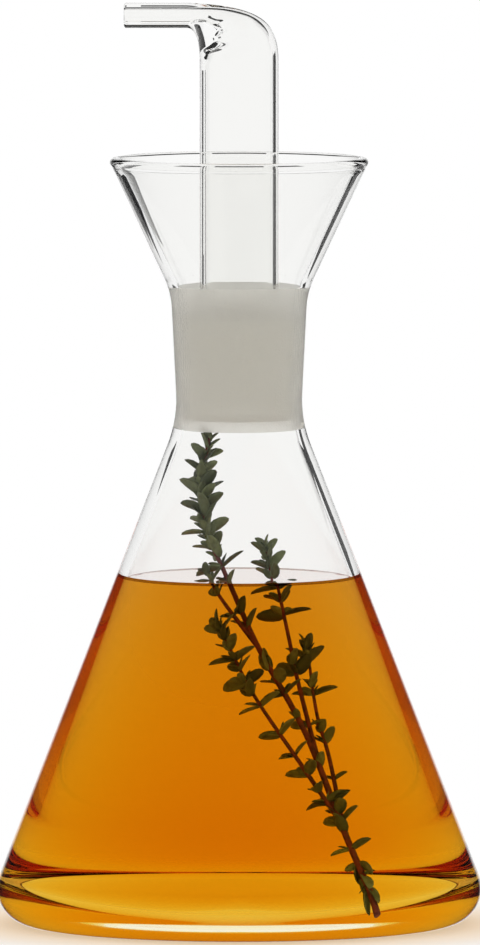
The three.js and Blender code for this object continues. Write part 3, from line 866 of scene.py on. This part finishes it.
class CRUET_OT_stage(bpy.types.Operator):
    """Set up the pale floor, the bright studio and the camera"""

    bl_idname = "cruet.stage"
    bl_label = "Stage"

    def execute(self, context):
        scene = context.scene
        self.lay_floor(scene.cruet_finishes)
        self.hang_flags(scene.cruet_finishes)
        self.light_studio(scene, scene.cruet_finishes)
        self.set_camera(scene)
        scene.view_settings.view_transform = "Standard"
        scene.cycles.use_denoising = True
        scene.cycles.max_bounces = 40
        scene.cycles.transmission_bounces = 40
        scene.cycles.glossy_bounces = 12
        scene.cycles.diffuse_bounces = 4
        return {"FINISHED"}

    def lay_floor(self, finishes):
        """A round pale floor: rings of points at growing radii. Near the cruet it keeps the shadow and has
        a painted warm glow, coloured by distance from the axis in place of the light that the oil throws, and
        further out it is plain white. Mirrored light doesn't meet it."""
        turn = np.linspace(0, 2 * math.pi, FLOOR_SIDES, endpoint=False)
        rings = np.array(FLOOR_RINGS)[:, None]
        places = np.stack((rings * np.cos(turn), rings * np.sin(turn), 0 * rings * turn), axis=-1)
        blocks = [grid_quads(len(rings), FLOOR_SIDES, False)[:, ::-1], np.arange(FLOOR_SIDES)[None]]
        material, tree = new_material("matt_studio_floor")
        place = add_node(tree, "ShaderNodeTexCoord").outputs["Object"]
        reach = add_node(tree, "ShaderNodeVectorMath", {0: place}, operation="LENGTH").outputs["Value"]
        fade, away = (
            add_node(tree, "ShaderNodeMapRange", {
                "Value": reach, "From Min": near, "From Max": far, "To Min": least, "To Max": 1.0,
            }, interpolation_type="SMOOTHSTEP").outputs[0]
            for (near, far), least in ((SHADOW_REACH, SHADOW_WHITE), (GLOW_REACH, 0.0))
        )
        path = add_node(tree, "ShaderNodeLightPath").outputs
        seen = path["Is Camera Ray"]
        for ray in ("Is Glossy Ray", "Is Transmission Ray"):
            seen = add_node(tree, "ShaderNodeMath", {0: seen, 1: path[ray]}, operation="MAXIMUM").outputs[0]
        white = add_node(tree, "ShaderNodeMath", {0: seen, 1: fade}, operation="MULTIPLY").outputs[0]
        matt = add_node(tree, "ShaderNodeBsdfDiffuse", {"Color": finishes.floor}).outputs[0]
        # Painted light: the floor's emission is warm near the cruet and white further out.
        lit = add_node(tree, "ShaderNodeMix", {
            0: away, 6: finishes.glow, 7: WHITE,
        }, data_type="RGBA").outputs[2]
        plain = add_node(tree, "ShaderNodeEmission", {"Color": lit, "Strength": 1.0}).outputs[0]
        mixed = add_node(tree, "ShaderNodeMixShader", {0: white, 1: matt, 2: plain}).outputs[0]
        add_node(tree, "ShaderNodeOutputMaterial", {"Surface": mixed})
        floor = piece("studio_floor", places.reshape(-1, 3), blocks, [material])
        floor.visible_glossy = False

    def hang_flags(self, finishes):
        """Dark cards round the cruet, met only by light that has come through its glass or oil, as black
        cards beside a light table give clear glass its lines. Each card is part of an upright cylinder, a
        grid of bearing by height."""
        material, tree = new_material("black_flag_card")
        card = add_node(tree, "ShaderNodeEmission", {"Color": finishes.flag, "Strength": 1.0}).outputs[0]
        add_node(tree, "ShaderNodeOutputMaterial", {"Surface": card})
        first, last, reach, low, high = np.array(FLAG_CARDS).T[:, :, None, None]
        turn = np.radians(first + (last - first) * np.linspace(0, 1, CARD_COLUMNS))
        height = np.concatenate((low, high), axis=1)
        places = np.stack(np.broadcast_arrays(reach * np.sin(turn), reach * np.cos(turn), height), axis=-1)
        foot = np.arange(len(FLAG_CARDS))[:, None] * 2 * CARD_COLUMNS + np.arange(CARD_COLUMNS - 1)
        top = foot + CARD_COLUMNS
        faces = np.stack((foot, foot + 1, top + 1, top), axis=-1).reshape(-1, 4)
        flags = piece("studio_flags", places.reshape(-1, 3), [faces], [material])
        for ray in ("camera", "diffuse", "glossy", "shadow", "volume_scatter"):
            setattr(flags, "visible_" + ray, False)

    def light_studio(self, scene, finishes):
        """A white studio all round. Mirrored light finds it dark but for the backdrop, so that no white
        veil lies over the oil."""
        world = bpy.data.worlds.new("bright_studio")
        world.use_nodes = True
        scene.world = world
        tree = world.node_tree
        tree.nodes.clear()
        way = add_node(tree, "ShaderNodeTexCoord").outputs["Generated"]
        north = add_node(tree, "ShaderNodeSeparateXYZ", {0: way}).outputs["Y"]
        begins, full = BACKDROP_EDGE
        mirrored = add_node(tree, "ShaderNodeMapRange", {
            "Value": north, "From Min": begins, "From Max": full, "To Min": 0.0, "To Max": 1.0,
        }, interpolation_type="SMOOTHSTEP").outputs[0]
        path = add_node(tree, "ShaderNodeLightPath").outputs
        glossy = add_node(tree, "ShaderNodeMath", {
            0: path["Is Glossy Ray"], 1: path["Is Reflection Ray"],
        }, operation="MULTIPLY").outputs[0]
        white = add_node(tree, "ShaderNodeMix", {0: glossy, 2: 1.0, 3: mirrored}).outputs[0]
        shown = add_node(tree, "ShaderNodeMix", {
            0: white, 6: finishes.flag, 7: WHITE,
        }, data_type="RGBA").outputs[2]
        backdrop = add_node(tree, "ShaderNodeBackground", {"Color": shown, "Strength": 1.0}).outputs[0]
        add_node(tree, "ShaderNodeOutputWorld", {"Surface": backdrop})

    def set_camera(self, scene):
        """A long lens a little above the rim, aimed at the middle of the photograph's frame. Its focal
        length is the sensor's height times the distance over the height that the frame shows."""
        camera = bpy.data.cameras.new("photo_camera")
        camera.sensor_fit = "VERTICAL"
        camera.sensor_height = SENSOR_HEIGHT
        camera.lens = SENSOR_HEIGHT * CAMERA_DISTANCE / (PHOTO_HEIGHT * PHOTO_PIXEL)
        back = Vector((0, -math.cos(CAMERA_ELEVATION), math.sin(CAMERA_ELEVATION)))
        made = bpy.data.objects.new("photo_camera", camera)
        made.location = CAMERA_TARGET + CAMERA_DISTANCE * back
        made.rotation_euler = (math.pi / 2 - CAMERA_ELEVATION, 0, 0)
        scene.collection.objects.link(made)
        scene.camera = made


class CRUET_PT_panel(bpy.types.Panel):
    """Lists the cruet's operators and sizes"""

    bl_label = "Oil cruet"
    bl_idname = "CRUET_PT_panel"
    bl_space_type = "VIEW_3D"
    bl_region_type = "UI"
    bl_category = "Cruet"

    def draw(self, context):
        for step in STEPS:
            self.layout.operator(step.bl_idname)
        for name in GROUPS:
            group = getattr(context.scene, name)
            box = self.layout.box()
            for prop in group.__annotations__:
                box.prop(group, prop)


STEPS = (CRUET_OT_flask, CRUET_OT_pour_spout, CRUET_OT_oil, CRUET_OT_thyme, CRUET_OT_stage)
GROUPS = {
    "cruet_flask": FlaskSizes,
    "cruet_spout": SpoutSizes,
    "cruet_contents": ContentsSizes,
    "cruet_finishes": Finishes,
}
CLASSES = (*GROUPS.values(), *STEPS, CRUET_PT_panel)


def register():
    for each in CLASSES:
        bpy.utils.register_class(each)
    for name, group in GROUPS.items():
        setattr(bpy.types.Scene, name, PointerProperty(type=group))


def unregister():
    for name in GROUPS:
        delattr(bpy.types.Scene, name)
    for each in reversed(CLASSES):
        bpy.utils.unregister_class(each)


def main():
    register()
    bpy.ops.cruet.flask()
    bpy.ops.cruet.pour_spout()
    bpy.ops.cruet.oil()
    bpy.ops.cruet.thyme()
    bpy.ops.cruet.stage()


if __name__ == "__main__":
    main()
